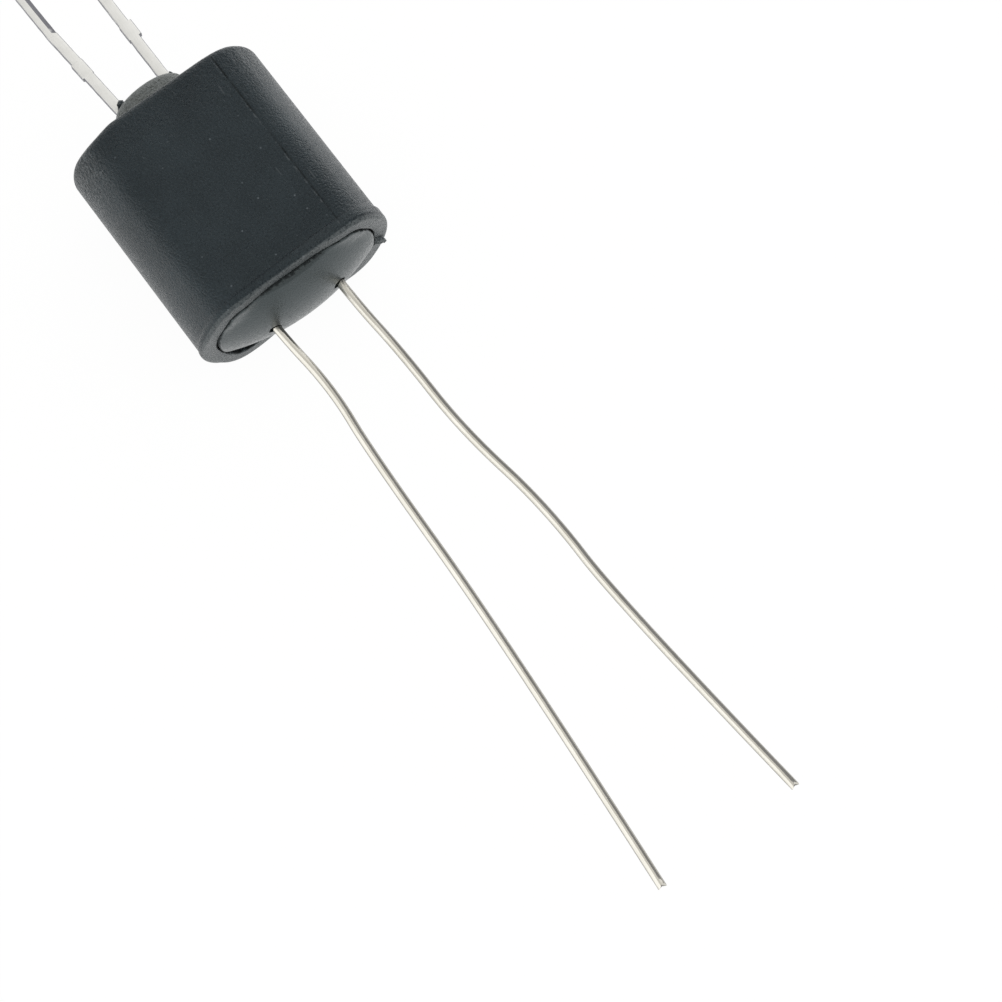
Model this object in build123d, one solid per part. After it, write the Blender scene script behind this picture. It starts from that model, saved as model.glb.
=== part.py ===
from build123d import *
from math import copysign, radians, sqrt, tan
import os

# Optocoupler: an LED and a photoresistor face each other inside one light-tight moulded housing.
# Millimetres. X runs along the leads, with the photoresistor's wires towards +X and the LED's legs towards -X.
# Z is up, out of the front face. The origin is the middle of the flat back, which the part lies on.

# Housing moulding
housing_width = 9.66
housing_thickness = 6.8
flat_width = 5.56
corner_share = 0.68
end_wall = 1.0
end_round = 0.4
bead_width = 0.62
bead_proud = 0.13
bead_round = 0.32
rim_wall = 0.7
boss_diameter = 3.56
boss_height = 1.15
boss_bevel = 0.35

# LED body, a round lens on a flange that is one wall wider than the legs
lens_diameter = 3.0
lens_length = 5.3
flange_thickness = 1.0
flange_wall = 0.39
flange_flat_step = 0.16
led_clearance = 0.1

# LED lead frame, stamped from one strip
leg_pitch = 2.54
leg_width = 0.48
leg_thickness = 0.44
leg_clearance = 0.05
cathode_length = 25.0
anode_length = 27.0
cathode_bend_at = 2.2
cathode_splay_degrees = 4.6
anode_bend_at = 2.2
anode_bend_length = 0.3
anode_shift = 0.1
stub_length = 0.8
cathode_stub_at = 4.81
cathode_stub_outer = 0.06
cathode_stub_inner = 0.03
anode_stub_at = 5.03
anode_stub_outer = 0.12
anode_stub_inner = 0.03
shoulder_start_share = 0.4
anvil_outer_share = 0.78
anvil_inner_share = 0.24
anvil_root_share = 0.14
anvil_top_share = 0.52
post_inner_share = 0.5

# Reflector cup, chip and bond wire
cup_diameter = 1.06
cup_height = 0.6
cup_mouth_share = 0.82
cup_floor_share = 0.45
cup_depth = 0.3
die_side = 0.26
die_height = 0.14
bond_wire_diameter = 0.05
bond_wire_sides = 6
bond_loop_height = 0.4
bond_rise_share = 0.3

# Photoresistor: a ceramic disc with two flats, a sensitive film, two combs and a clear coat
light_gap = 0.5
ldr_diameter = 5.1
ldr_height = 4.3
substrate_thickness = 1.25
coat_thickness = 0.75
film_thickness = 0.05
film_margin = 0.15
comb_thickness = 0.05
comb_gap = 0.2
fingers_per_comb = 4
joint_radius = 0.42
joint_height = 0.34
ldr_clearance = 0.1

# Photoresistor wires: places along the free length, and sideways as shares of the pitch, outwards
wire_pitch = 3.4
wire_diameter = 0.4
wire_reach = 29.79
wire_hole_clearance = 0.05
wire_a_route_shares = ((0.029, 0.0), (0.150, -0.102), (0.261, 0.010), (0.590, 0.106), (1.0, 0.416))
wire_b_route_shares = ((0.056, 0.0), (0.167, 0.078), (0.311, 0.084), (0.472, 0.319), (0.647, 0.307), (1.0, 0.627))

# End plug
plug_depth = 1.06
plug_clearance = 0.05
plug_crown = 1.0
plug_wire_clearance = 0.15
crown_spread_share = 1.1

# Run past a face that every cut is given
overrun = 1.0

# Angle that puts a turned form's seam on its far side
half_turn_degrees = 180

# Stack along X, from the closed end to the rim
ldr_thickness = substrate_thickness + coat_thickness
housing_length = end_wall + lens_length + light_gap + ldr_thickness + plug_depth
led_end = -housing_length / 2
rim_end = housing_length / 2
flange_base = led_end + end_wall
coat_face = flange_base + lens_length + light_gap
substrate_face = coat_face + coat_thickness
plug_seat = substrate_face + substrate_thickness
mid_height = housing_thickness / 2

# Round side of the housing: a corner arc that leaves the flat runs into a wide arc through the widest point
side_reach = (housing_width - flat_width) / 2
corner_radius = corner_share * side_reach
side_spread = side_reach**2 + mid_height**2 - 2 * corner_radius * mid_height
side_radius = side_spread / (2 * (side_reach - corner_radius))
side_centre = housing_width / 2 - side_radius

lens_radius = lens_diameter / 2
flange_radius = leg_pitch / 2 + leg_width / 2 + flange_wall
wire_radius = wire_diameter / 2


def across(x):
    """Plane across the part at x, with its own x along Y and its own y along Z, centred at mid height."""
    return Plane(origin=(x, 0, mid_height), x_dir=(0, 1, 0), z_dir=(1, 0, 0))


def outline(*edges):
    """Face bounded by edges that follow one another."""
    return make_face(Wire(list(edges)))


def crown_arc(edge_x, top_x, radius):
    """Arc from a round edge to the axis, centred on the axis, so that it turns into a ball's cap."""
    rise = top_x - edge_x
    ball = (radius**2 + rise**2) / (2 * rise)
    half_radius = radius / 2
    drop = ball - copysign(sqrt(ball**2 - half_radius**2), ball)
    return ThreePointArc((edge_x, radius), (top_x - drop, half_radius), (top_x, 0))


def oval(inset):
    """Housing section moved inwards by inset: two flats, round corners and wide round sides, all tangent."""
    half_flat = flat_width / 2
    half_height = mid_height - inset
    widest = housing_width / 2 - inset
    stretch = (side_radius - inset) / (side_radius - corner_radius)
    join_y = side_centre + stretch * (half_flat - side_centre)
    join_z = stretch * (mid_height - corner_radius)
    edges = []
    for turn in (1, -1):
        flat_end = (turn * half_flat, turn * half_height)
        side_start = (turn * join_y, turn * join_z)
        side_end = (turn * join_y, -turn * join_z)
        far_flat = (turn * half_flat, -turn * half_height)
        edges.append(Line((-turn * half_flat, turn * half_height), flat_end))
        edges.append(TangentArc(flat_end, side_start, tangent=(turn, 0)))
        edges.append(ThreePointArc(side_start, (turn * widest, 0), side_end))
        edges.append(TangentArc(far_flat, side_end, tangent=(turn, 0)))
    return outline(*edges)


def flatted_disc(margin):
    """Photoresistor outline, a disc with two flats, moved inwards by margin."""
    return Circle(ldr_diameter / 2 - margin) & Rectangle(ldr_diameter, ldr_height - 2 * margin)


def prism(x_from, x_to, section):
    """Section pulled along X between two places."""
    return extrude(across(x_from) * section, amount=x_to - x_from)


def plate(points):
    """Stamped strip metal: an outline in the lead plane, as thick as the strip."""
    face = Plane.XY.offset(mid_height) * make_face(Polyline(*points, close=True))
    return extrude(face, amount=leg_thickness / 2, both=True)


def mitred_sweep(section, points):
    """Section pulled along straight runs that meet in mitres."""
    return sweep(section, path=Polyline(*points), transition=Transition.RIGHT)


def leg_strip(points):
    """Outer leg of the LED, a strip from the flange along its route."""
    section = across(flange_base) * Pos(points[0].Y, 0) * Rectangle(leg_width, leg_thickness)
    return mitred_sweep(section, points)


def tie_bar_stub(place, turn_degrees, low_proud, high_proud):
    """Stub left where the tie bar was cut, proud of the leg's two edges by different amounts."""
    block = Box(stub_length, leg_width + low_proud + high_proud, leg_thickness)
    return Pos(place) * Rot(0, 0, turn_degrees) * Pos(0, (high_proud - low_proud) / 2, 0) * block


def housing():
    """One moulding: outer form, bead and boss, then the stepped bore from the open end."""
    body = prism(led_end, rim_end, oval(0))
    body = fillet(body.edges().filter_by_position(Axis.X, led_end, led_end), end_round)

    bead_start = rim_end - bead_width
    bead = prism(bead_start, rim_end, oval(-bead_proud))
    bead = fillet(bead.edges().filter_by_position(Axis.X, rim_end, rim_end), bead_round)

    boss_top = led_end - boss_height
    boss = prism(flange_base, boss_top, Circle(boss_diameter / 2))
    boss = chamfer(boss.edges().filter_by_position(Axis.X, boss_top, boss_top), boss_bevel)

    shell = body + bead + boss
    shell -= prism(flange_base, rim_end, Circle(flange_radius + led_clearance))
    shell -= prism(coat_face, rim_end, flatted_disc(-ldr_clearance))
    shell -= prism(plug_seat, rim_end + overrun, oval(rim_wall))
    slot = Rectangle(leg_width + 2 * leg_clearance, leg_thickness + 2 * leg_clearance)
    for side in (-1, 1):
        slot_start = boss_top - overrun
        shell -= prism(slot_start, flange_base + leg_clearance, Pos(side * leg_pitch / 2, 0) * slot)
    return shell


def reflector_cup():
    """Cup coined on the anvil: a round wall about a conical recess, on the lens axis."""
    top = flange_base + anvil_top_share * lens_length + cup_depth
    foot = top - cup_height
    floor = top - cup_depth
    radius = cup_diameter / 2
    profile = make_face(
        Polyline(
            (foot, 0),
            (foot, radius),
            (top, radius),
            (top, cup_mouth_share * radius),
            (floor, cup_floor_share * radius),
            (floor, 0),
            close=True,
        )
    )
    return revolve(Plane.XY.offset(mid_height) * profile, axis=Axis((0, 0, mid_height), (1, 0, 0)))


def cup_recess():
    """Space inside the cup, cleared out of the anvil below it."""
    floor = flange_base + anvil_top_share * lens_length
    radius = cup_diameter / 2
    profile = make_face(
        Polyline(
            (floor, 0),
            (floor, cup_floor_share * radius),
            (floor + cup_depth, cup_mouth_share * radius),
            (floor + cup_depth, 0),
            close=True,
        )
    )
    return revolve(Plane.XY.offset(mid_height) * profile, axis=Axis((0, 0, mid_height), (1, 0, 0)))


def cathode_lead():
    """Leg and anvil in one stamping, with the reflector cup at the anvil's head."""
    outer_leg = -(leg_pitch + leg_width) / 2
    inner_leg = -(leg_pitch - leg_width) / 2
    shoulder = flange_base + shoulder_start_share * flange_thickness
    root = flange_base + flange_thickness + anvil_root_share * lens_length
    head = flange_base + anvil_top_share * lens_length
    anvil = plate(
        (
            (flange_base, outer_leg),
            (shoulder, outer_leg),
            (flange_base + flange_thickness, -anvil_outer_share * lens_radius),
            (root, -anvil_outer_share * lens_radius),
            (head, -cup_floor_share * cup_diameter / 2),
            (head, cup_floor_share * cup_diameter / 2),
            (root, anvil_inner_share * lens_radius),
            (flange_base + flange_thickness, anvil_inner_share * lens_radius),
            (shoulder, inner_leg),
            (flange_base, inner_leg),
        )
    )
    base = Vector(flange_base, -leg_pitch / 2, mid_height)
    bend = base - Vector(cathode_bend_at, 0, 0)
    outwards = Vector(-1, -tan(radians(cathode_splay_degrees)), 0)
    strip = leg_strip((base, bend, bend + outwards * (cathode_length - cathode_bend_at)))
    stub_place = bend + outwards * (cathode_stub_at - cathode_bend_at)
    stub = tie_bar_stub(stub_place, cathode_splay_degrees, cathode_stub_outer, cathode_stub_inner)
    return strip + stub + anvil + reflector_cup() - cup_recess()


def post_top():
    """Height of the bond post, level with the cup's mouth."""
    return flange_base + anvil_top_share * lens_length + cup_depth


def anode_lead():
    """Leg and bond post in one stamping."""
    outer_leg = (leg_pitch + leg_width) / 2
    inner_leg = (leg_pitch - leg_width) / 2
    shoulder = flange_base + shoulder_start_share * flange_thickness
    post = plate(
        (
            (flange_base, outer_leg),
            (shoulder, outer_leg),
            (flange_base + flange_thickness, anvil_outer_share * lens_radius),
            (post_top(), anvil_outer_share * lens_radius),
            (post_top(), post_inner_share * lens_radius),
            (flange_base + flange_thickness, post_inner_share * lens_radius),
            (shoulder, inner_leg),
            (flange_base, inner_leg),
        )
    )
    base = Vector(flange_base, leg_pitch / 2, mid_height)
    bend = base - Vector(anode_bend_at, 0, 0)
    run = bend - Vector(anode_bend_length, anode_shift, 0)
    straight_length = anode_length - anode_bend_at - anode_bend_length
    strip = leg_strip((base, bend, run, run - Vector(straight_length, 0, 0)))
    stub_place = run - Vector(anode_stub_at - anode_bend_at - anode_bend_length, 0, 0)
    stub = tie_bar_stub(stub_place, 0, anode_stub_inner, anode_stub_outer)
    return strip + stub + post


def led_die():
    """Chip on the floor of the cup."""
    floor = flange_base + anvil_top_share * lens_length
    return prism(floor, floor + die_height, Rectangle(die_side, die_side))


def led_bond_wire():
    """Hair-thin wire with few sides, in short straight runs from the chip's top to the post's top."""
    die_top = flange_base + anvil_top_share * lens_length + die_height
    loop_top = post_top() + bond_loop_height
    post_y = (anvil_outer_share + post_inner_share) / 2 * lens_radius
    shoulder_y = bond_rise_share * post_y
    points = (
        (die_top, 0, mid_height),
        (post_top(), 0, mid_height),
        (loop_top, shoulder_y, mid_height),
        (loop_top, post_y - shoulder_y, mid_height),
        (post_top() + bond_wire_diameter, post_y, mid_height),
        (post_top(), post_y, mid_height),
    )
    section = across(die_top) * RegularPolygon(bond_wire_diameter / 2, bond_wire_sides)
    return mitred_sweep(section, points)


def led_lens(embedded):
    """Cast epoxy: flange with a flat on the cathode side, barrel and round end, cast round the lead frame."""
    barrel_end = flange_base + lens_length - lens_radius
    flange_top = flange_base + flange_thickness
    profile = outline(
        Line((flange_base, 0), (flange_base, flange_radius)),
        Line((flange_base, flange_radius), (flange_top, flange_radius)),
        Line((flange_top, flange_radius), (flange_top, lens_radius)),
        Line((flange_top, lens_radius), (barrel_end, lens_radius)),
        crown_arc(barrel_end, barrel_end + lens_radius, lens_radius),
        Line((barrel_end + lens_radius, 0), (flange_base, 0)),
    )
    lens = revolve(Plane.XY.offset(mid_height) * profile, axis=Axis((0, 0, mid_height), (1, 0, 0)))
    flat_y = -flange_radius + flange_flat_step
    cut_width = flange_radius
    lens -= prism(
        flange_base - overrun,
        flange_top,
        Pos(flat_y - cut_width / 2, 0) * Rectangle(cut_width, 2 * flange_radius),
    )
    for piece in embedded:
        lens -= piece
    return lens


def substrate():
    """Ceramic disc with two flats and a hole for each wire."""
    disc = prism(substrate_face, plug_seat, flatted_disc(0))
    return disc - wire_holes(substrate_face, plug_seat, wire_radius + wire_hole_clearance)


def wire_holes(x_from, x_to, radius):
    """Pair of round holes at the wire pitch, run past both faces."""
    holes = [Pos(side * wire_pitch / 2, 0) * Circle(radius) for side in (-1, 1)]
    return prism(x_from - overrun, x_to + overrun, Sketch() + holes)


def film():
    """Light-sensitive layer over the face, short of its edge."""
    layer = prism(substrate_face - film_thickness, substrate_face, flatted_disc(film_margin))
    return layer - wire_holes(substrate_face, substrate_face, wire_radius)


def comb(side):
    """Metal comb: a pad round one wire, with fingers that reach between the other comb's fingers."""
    field = flatted_disc(film_margin)
    half_field = ldr_height / 2 - film_margin
    pad_edge = wire_pitch / 2 - joint_radius
    pad = field & (Pos(side * (pad_edge + ldr_diameter / 2), 0) * Rectangle(ldr_diameter, ldr_diameter))
    finger_pitch = half_field / fingers_per_comb
    finger_length = 2 * pad_edge - comb_gap
    shape = pad
    for number in range(fingers_per_comb):
        step = 2 * number + (1 - side) / 2
        z = -half_field + (step + 1 / 2) * finger_pitch
        finger = Rectangle(finger_length + comb_gap, finger_pitch - comb_gap)
        shape += Pos(side * comb_gap, z) * finger
    front = substrate_face - film_thickness - comb_thickness
    metal = prism(front, front + comb_thickness, shape)
    return metal - wire_holes(front, front, wire_radius)


def wire_joint(side, wire):
    """Dab of conductive paste over the wire's end, on its comb."""
    base = substrate_face - film_thickness - comb_thickness
    dab = prism(base - joint_height, base, Pos(side * wire_pitch / 2, 0) * Circle(joint_radius))
    return dab - wire


def ldr_wire(side, route_shares):
    """Round wire from its joint through ceramic and plug, then along its slight bends to the cut tip."""
    y = side * wire_pitch / 2
    end = substrate_face - film_thickness - comb_thickness - joint_height / 2
    points = [(end, y, mid_height)]
    for along, outwards in route_shares:
        place = side * wire_pitch * (1 / 2 + outwards)
        points.append((rim_end + along * wire_reach, place, mid_height))
    return mitred_sweep(across(end) * Pos(y, 0) * Circle(wire_radius), points)


def coating(covered):
    """Clear coat over the face, cast round the combs, the film and the joints."""
    coat = prism(coat_face, substrate_face, flatted_disc(0))
    for piece in covered:
        coat -= piece
    return coat


def end_plug():
    """Plug that seats on the step behind the photoresistor, with a face crowned both ways."""
    inset = rim_wall + plug_clearance
    top = rim_end + plug_crown
    plug = prism(plug_seat, top + overrun, oval(inset))
    plug -= wire_holes(plug_seat, top + overrun, wire_radius + plug_wire_clearance)

    across_y = crown_spread_share * (housing_width / 2 - inset)
    across_z = crown_spread_share * (housing_thickness / 2 - inset)
    radius_y = (across_y**2 + plug_crown**2) / (2 * plug_crown)
    turn_x = top - radius_y
    profile = outline(
        Line((turn_x, -across_z), (rim_end, -across_z)),
        ThreePointArc((rim_end, -across_z), (top, 0), (rim_end, across_z)),
        Line((rim_end, across_z), (turn_x, across_z)),
        Line((turn_x, across_z), (turn_x, -across_z)),
    )
    lead_plane = Plane(origin=(0, 0, mid_height), x_dir=(1, 0, 0), z_dir=(0, -1, 0))
    turn_axis = Axis((turn_x, 0, mid_height), (0, 0, 1))
    crown = revolve(lead_plane * profile, axis=turn_axis)
    return plug & crown.rotate(turn_axis, half_turn_degrees)


wire_a = ldr_wire(-1, wire_a_route_shares)
wire_b = ldr_wire(1, wire_b_route_shares)
lead_frame = {"led_cathode_lead": cathode_lead(), "led_anode_lead": anode_lead()}
chip = {"led_die": led_die(), "led_bond_wire": led_bond_wire()}
face_layers = {
    "ldr_film": film(),
    "ldr_electrode_a": comb(-1),
    "ldr_electrode_b": comb(1),
    "ldr_joint_a": wire_joint(-1, wire_a),
    "ldr_joint_b": wire_joint(1, wire_b),
}
parts = {
    "housing": housing(),
    "end_plug": end_plug(),
    "led_lens": led_lens([*lead_frame.values(), *chip.values()]),
    **lead_frame,
    **chip,
    "ldr_substrate": substrate(),
    **face_layers,
    "ldr_coating": coating([*face_layers.values(), wire_a, wire_b]),
    "ldr_lead_a": wire_a,
    "ldr_lead_b": wire_b,
}

os.makedirs("parts", exist_ok=True)
for name, shape in parts.items():
    export_step(shape, f"parts/{name}.step")
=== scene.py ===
import math

import bmesh
import bpy
import numpy as np
from mathutils import Matrix, Vector, noise


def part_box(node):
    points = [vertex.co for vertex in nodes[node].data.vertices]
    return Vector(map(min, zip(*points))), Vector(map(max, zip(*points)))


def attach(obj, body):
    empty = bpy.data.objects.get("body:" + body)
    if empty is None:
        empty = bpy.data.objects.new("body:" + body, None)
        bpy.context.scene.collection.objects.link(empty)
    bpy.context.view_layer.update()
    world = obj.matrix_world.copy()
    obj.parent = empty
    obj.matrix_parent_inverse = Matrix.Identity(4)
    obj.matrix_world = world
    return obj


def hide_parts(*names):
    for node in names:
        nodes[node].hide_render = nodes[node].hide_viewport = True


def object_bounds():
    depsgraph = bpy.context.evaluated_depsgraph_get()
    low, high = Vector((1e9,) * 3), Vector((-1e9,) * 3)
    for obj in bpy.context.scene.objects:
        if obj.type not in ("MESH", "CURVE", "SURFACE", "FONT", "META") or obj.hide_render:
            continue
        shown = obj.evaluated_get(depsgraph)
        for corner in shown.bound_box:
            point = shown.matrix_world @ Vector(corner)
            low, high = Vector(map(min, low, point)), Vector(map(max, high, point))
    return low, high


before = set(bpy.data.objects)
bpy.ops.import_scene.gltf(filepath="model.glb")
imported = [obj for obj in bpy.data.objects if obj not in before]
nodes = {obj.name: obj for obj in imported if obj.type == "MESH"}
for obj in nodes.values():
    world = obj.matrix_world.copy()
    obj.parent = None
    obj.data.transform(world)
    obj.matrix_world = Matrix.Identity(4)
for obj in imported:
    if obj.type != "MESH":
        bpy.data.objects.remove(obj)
cad_low, cad_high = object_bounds()

# Housing: one black thermoplastic moulding with flat front and back, round sides, a low boss at the
# LED's end and a bead round its open mouth. It has the mould's fine grain, a parting line along one
# edge of the front, and bits of torn flash at the mouth and at the legs.
mm = 0.001
housing_low, housing_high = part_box("housing")
bead_proud = 0.13 * mm
half_width = housing_high.y - bead_proud
half_thickness = (housing_high.z - housing_low.z) / 2 - bead_proud
middle = (housing_high.z + housing_low.z) / 2
half_flat = 2.78 * mm
corner_share = 0.68
side_reach = half_width - half_flat
corner_radius = corner_share * side_reach
corner_z = half_thickness - corner_radius
side_spread = side_reach**2 + half_thickness**2 - 2 * corner_radius * half_thickness
side_radius = side_spread / (2 * (side_reach - corner_radius))
side_centre = half_width - side_radius
flat_points = 50
corner_points = 36
side_points = 54
barrel_rings = 60
bead_rings = 12
stretched_rings = 8

rim_x = housing_high.x
bead_width = 0.55 * mm
bead_wider = 0.11 * mm
bead_rise = (0.24 * mm, 0.13 * mm)
bead_rise_y = (-2 * mm, 0.5 * mm)
bead_round = 0.17 * mm
rim_wall = 0.67 * mm
lip_round = 0.06 * mm
lip_ragged = 0.06 * mm
lip_bump = 0.35 * mm
mouth_depth = 1.0 * mm
parting_depth = 0.012 * mm
parting_bump = 0.5 * mm
right_swell = 0.045 * mm
left_draft = 0.08 * mm
corner_pull = (0.17 * mm, 0.05 * mm)
pull_centre = 3.45 * mm
pull_reach = 1.2 * mm
sag = 0.15 * mm
sag_centre = -2.5 * mm
sag_reach = 1.7 * mm
bow = 0.13 * mm
bow_y = (1.0 * mm, 2.8 * mm)
bow_depth = 2.0 * mm
boss_height = 1.15 * mm
boss_radius = 1.78 * mm
boss_round = 0.35 * mm
boss_root = 0.12 * mm
led_end_x = housing_low.x + boss_height
end_round = 0.40 * mm

plug_seat_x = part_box("end_plug")[0].x
coat_low, coat_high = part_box("ldr_coating")
lens_low, lens_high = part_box("led_lens")
pocket_clearance = 0.10 * mm
pocket_radius = coat_high.y + pocket_clearance
pocket_half_height = (coat_high.z - coat_low.z) / 2 + pocket_clearance
bore_radius = (lens_high.z - lens_low.z) / 2 + pocket_clearance


def oval(inset):
    """Points (y, z) once round the housing's section, moved inwards, clockwise from the front's centre."""
    meet = math.atan2(half_flat - side_centre, corner_z)
    flat = [(half_flat * t, half_thickness - inset) for t in np.linspace(0, 1, flat_points, endpoint=False)]
    turns = np.linspace(0, meet, corner_points, endpoint=False)
    spokes = np.column_stack([np.sin(turns), np.cos(turns)])
    corner = [half_flat, corner_z] + (corner_radius - inset) * spokes
    turns = np.linspace(meet, math.pi / 2, side_points + 1)
    spokes = np.column_stack([np.sin(turns), np.cos(turns)])
    side = [side_centre, 0] + (side_radius - inset) * spokes
    quarter = np.vstack([flat, corner, side])
    right = np.vstack([quarter, quarter[-2::-1] * (1, -1)])
    return np.vstack([right[:-1], -right[:-1]])


section_angles = np.arctan2(oval(0)[:, 1], oval(0)[:, 0])


def circle(radius):
    """Ring of the section's count of points on a circle."""
    return radius * np.column_stack([np.cos(section_angles), np.sin(section_angles)])


def flatted_circle(radius, half_height):
    """Ring on a disc with two flats."""
    reach = half_height / np.maximum(np.abs(np.sin(section_angles)), half_height / radius)
    return circle(1) * reach[:, None]


def placed(x, outline):
    """Ring of points across the part at x."""
    return np.column_stack([np.broadcast_to(x, len(outline)), outline[:, 0], outline[:, 1] + middle])


def roughness_at(points, size, seed):
    """Smooth noise from -1 to 1 at each point, with bumps of the given size."""
    shift = Vector((seed, 2 * seed, 3 * seed))
    return np.array([noise.noise(Vector(point) / size + shift) for point in points])


def skin(name, shells):
    """Object of closed shells, each lofted through rings of points with a fan at both ends."""
    points = []
    faces = []
    for rings in shells:
        count = len(rings[0])
        start = len(points)
        points.append(np.mean(rings[0], axis=0))
        for ring in rings:
            points.extend(ring)
        points.append(np.mean(rings[-1], axis=0))
        end = len(points) - 1
        for i in range(count):
            j = (i + 1) % count
            faces.append((start, start + 1 + j, start + 1 + i))
            for row in range(len(rings) - 1):
                here = start + 1 + row * count
                faces.append((here + i, here + j, here + count + j, here + count + i))
            faces.append((end, end - count + i, end - count + j))
    mesh = bpy.data.meshes.new(name)
    mesh.from_pydata(points, [], faces)
    tidy = bmesh.new()
    tidy.from_mesh(mesh)
    bmesh.ops.recalc_face_normals(tidy, faces=tidy.faces)
    tidy.to_mesh(mesh)
    tidy.free()
    piece = bpy.data.objects.new(name, mesh)
    bpy.context.scene.collection.objects.link(piece)
    return piece


def cut_away(piece, cutter):
    """Takes the cutter's shape out of the piece and removes the cutter."""
    cut = piece.modifiers.new("cut", "BOOLEAN")
    cut.operation = "DIFFERENCE"
    cut.solver = "EXACT"
    cut.object = cutter
    graph = bpy.context.evaluated_depsgraph_get()
    mesh = bpy.data.meshes.new_from_object(piece.evaluated_get(graph))
    piece.modifiers.clear()
    piece.data = mesh
    bpy.data.objects.remove(cutter)


def take_in(piece, other):
    """Adds the other object's shells to the piece and removes that object."""
    both = bmesh.new()
    both.from_mesh(piece.data)
    both.from_mesh(other.data)
    both.to_mesh(piece.data)
    both.free()
    bpy.data.objects.remove(other)


def smooth_over(piece, sharp_degrees):
    """Shades the piece smooth, with edges sharper than the angle kept crisp."""
    piece.data.shade_smooth()
    piece.data.set_sharp_from_angle(angle=math.radians(sharp_degrees))


def end_pull(outline):
    """How far the LED's end is drawn in at the housing's corners."""
    off_centre = (np.abs(outline[:, 0]) - pull_centre) / pull_reach
    return np.clip(1 - off_centre**2, 0, 1) ** 2 * np.where(outline[:, 0] < 0, *corner_pull)


def front_bow(outline):
    """How far the mouth's lip stands out towards the front corners, over points (y, z) from the middle."""
    share = np.interp(np.abs(outline[:, 0]), bow_y, (0, 1))
    return bow * share * share * (3 - 2 * share) * np.clip(outline[:, 1] / bow_depth, 0, 1)


def housing_rings():
    """Rings from the boss's top over the outside to the rim, then inside down to the LED's seat."""
    rings = []
    for share in (0.25, 0.5, 0.75, 1.0):
        rings.append(placed(housing_low.x, circle(share * (boss_radius - boss_round))))
    for turn in np.linspace(0, math.pi / 2, 9)[1:]:
        x = housing_low.x + boss_round * (1 - math.cos(turn))
        rings.append(placed(x, circle(boss_radius - boss_round + boss_round * math.sin(turn))))
    for turn in np.linspace(0, math.pi / 2, 6):
        x = led_end_x - boss_root * (1 - math.sin(turn))
        rings.append(placed(x, circle(boss_radius + boss_root * (1 - math.cos(turn)))))
    boss_foot = circle(boss_radius + boss_root)
    for share in np.linspace(0, 1, 9)[1:]:
        outline = boss_foot + share * (oval(end_round) - boss_foot)
        rings.append(placed(led_end_x + end_pull(outline), outline))
    for turn in np.linspace(0, math.pi / 2, 11)[1:]:
        outline = oval(end_round * (1 - math.sin(turn)))
        outline[:, 0] += right_swell * math.sin(turn) * np.clip(outline[:, 0] / half_width, 0, 1)
        rings.append(placed(led_end_x + end_pull(outline) + end_round * (1 - math.cos(turn)), outline))
    barrel_x = rings[-1][:, 0]
    bead_x = rim_x - bead_width - bead_wider * rings[-1][:, 1] / half_width
    for share in np.linspace(0, 1, barrel_rings)[1:]:
        barrel = placed(barrel_x + share * (bead_x - barrel_x), oval(0))
        barrel[:, 1] += right_swell * np.clip(barrel[:, 1] / half_width, 0, 1)
        barrel[:, 1] += left_draft * share * np.clip(barrel[:, 1] / half_width, -1, 0)
        groove = barrel[flat_points : flat_points + 2]
        groove[:, 2] -= parting_depth * (1 + roughness_at(groove, parting_bump, seed=4))
        rings.append(barrel)
    foot = rings[-1]
    rise = np.interp(foot[:, 1], bead_rise_y, bead_rise)
    crest = placed(bead_x + rise, oval(-bead_proud))
    for share in np.linspace(0, 1, 9)[1:]:
        ring = foot + share * share * (3 - 2 * share) * (crest - foot)
        ring[:, 0] = bead_x + share * rise
        rings.append(ring)
    for turn in np.linspace(0, math.pi / 2, bead_rings):
        x = rim_x - bead_round * (1 - math.sin(turn))
        rings.append(placed(x, oval(bead_round * (1 - math.cos(turn)) - bead_proud)))
    mouth_start = len(rings) - stretched_rings
    face_inset = bead_round - bead_proud
    for share in np.linspace(0, 1, 6)[1:]:
        rings.append(placed(rim_x, oval(face_inset + share * (rim_wall - lip_round - face_inset))))
    for turn in np.linspace(0, math.pi / 2, 5)[1:]:
        x = rim_x - lip_round * (1 - math.cos(turn))
        lip = placed(x, oval(rim_wall - lip_round * (1 - math.sin(turn))))
        wave = lip_ragged * math.sin(turn) * roughness_at(lip, lip_bump, seed=3)
        lip[:, 0] -= np.abs(wave)
        rings.append(lip)
    for x in np.linspace(rim_x - 2 * lip_round, plug_seat_x, 6):
        rings.append(placed(x, oval(rim_wall)))
    for x in (plug_seat_x, coat_low.x):
        rings.append(placed(x, flatted_circle(pocket_radius, pocket_half_height)))
    for x in (coat_low.x, lens_low.x):
        rings.append(placed(x, circle(bore_radius)))
    rings.append(placed(lens_low.x, circle(bore_radius / 2)))
    for ring in rings[mouth_start:]:
        hang = np.clip(1 - ((ring[:, 1] - sag_centre) / sag_reach) ** 2, 0, 1)
        stretched = sag * hang * np.clip((middle - ring[:, 2]) / bow_depth, 0, 1)
        stretched += front_bow(ring[:, 1:] - (0, middle))
        ring[:, 0] += stretched * (ring[:, 0] > rim_x - mouth_depth)
    return rings


tab_rings = 15
tab_sides = 28
tab_taper = 0.97
tab_bump = 0.10 * mm
tab_ragged = 0.6


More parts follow.
